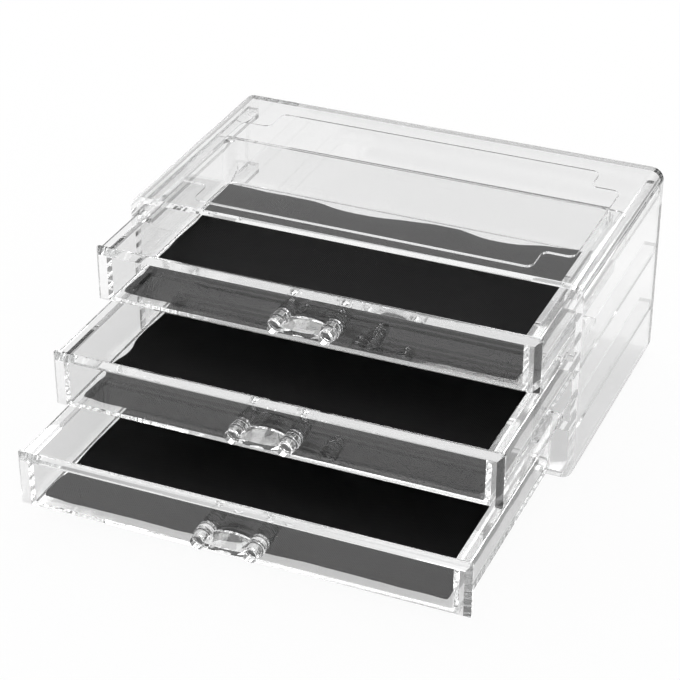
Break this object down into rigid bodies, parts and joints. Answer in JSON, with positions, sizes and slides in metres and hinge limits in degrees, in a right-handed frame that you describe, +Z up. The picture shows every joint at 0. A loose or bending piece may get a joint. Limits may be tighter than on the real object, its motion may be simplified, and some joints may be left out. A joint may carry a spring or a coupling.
{
  "type": "makeup drawer box",
  "caption": "Clear plastic chest open at the front, with wide shallow slide-out drawers that have bevelled fronts, two-post handles and loose black mesh mats, for makeup or jewellery.",
  "frame": {"origin": "centre of the case's underside, on the surface that it stands on", "axes": "+Z up, drawers open towards -Y, +X to the right for a viewer in front of the drawers"},
  "size_m": [0.24, 0.2822, 0.1095],
  "materials": {
    "clear_case_plastic": "clear, polished",
    "clear_tray_plastic": "clear, polished",
    "clear_panel_plastic": "clear, polished, bevelled",
    "clear_handle_plastic": "clear, polished",
    "black_mesh": "fine twill mesh"
  },
  "bodies": {
    "case": {"case_shell": "clear_case_plastic", "case_back": "clear_case_plastic", "runner_left_bottom": "clear_case_plastic", "runner_left_middle": "clear_case_plastic", "runner_left_top": "clear_case_plastic", "runner_right_bottom": "clear_case_plastic", "runner_right_middle": "clear_case_plastic", "runner_right_top": "clear_case_plastic"},
    "drawer_bottom": {"tray_bottom": "clear_tray_plastic", "front_panel_bottom": "clear_panel_plastic", "handle_bottom": "clear_handle_plastic", "liner_bottom": "black_mesh"},
    "drawer_middle": {"tray_middle": "clear_tray_plastic", "front_panel_middle": "clear_panel_plastic", "handle_middle": "clear_handle_plastic", "liner_middle": "black_mesh"},
    "drawer_top": {"tray_top": "clear_tray_plastic", "front_panel_top": "clear_panel_plastic", "handle_top": "clear_handle_plastic", "liner_top": "black_mesh"}
  },
  "joints": [
    {"name": "drawer_bottom_slide", "type": "slide", "parent": "case", "child": "drawer_bottom", "axis": [0, -1, 0], "range_m": [-0.1295, 0]},
    {"name": "drawer_middle_slide", "type": "slide", "parent": "case", "child": "drawer_middle", "axis": [0, -1, 0], "range_m": [-0.091, 0.0385]},
    {"name": "drawer_top_slide", "type": "slide", "parent": "case", "child": "drawer_top", "axis": [0, -1, 0], "range_m": [-0.044, 0.0855]}
  ]
}
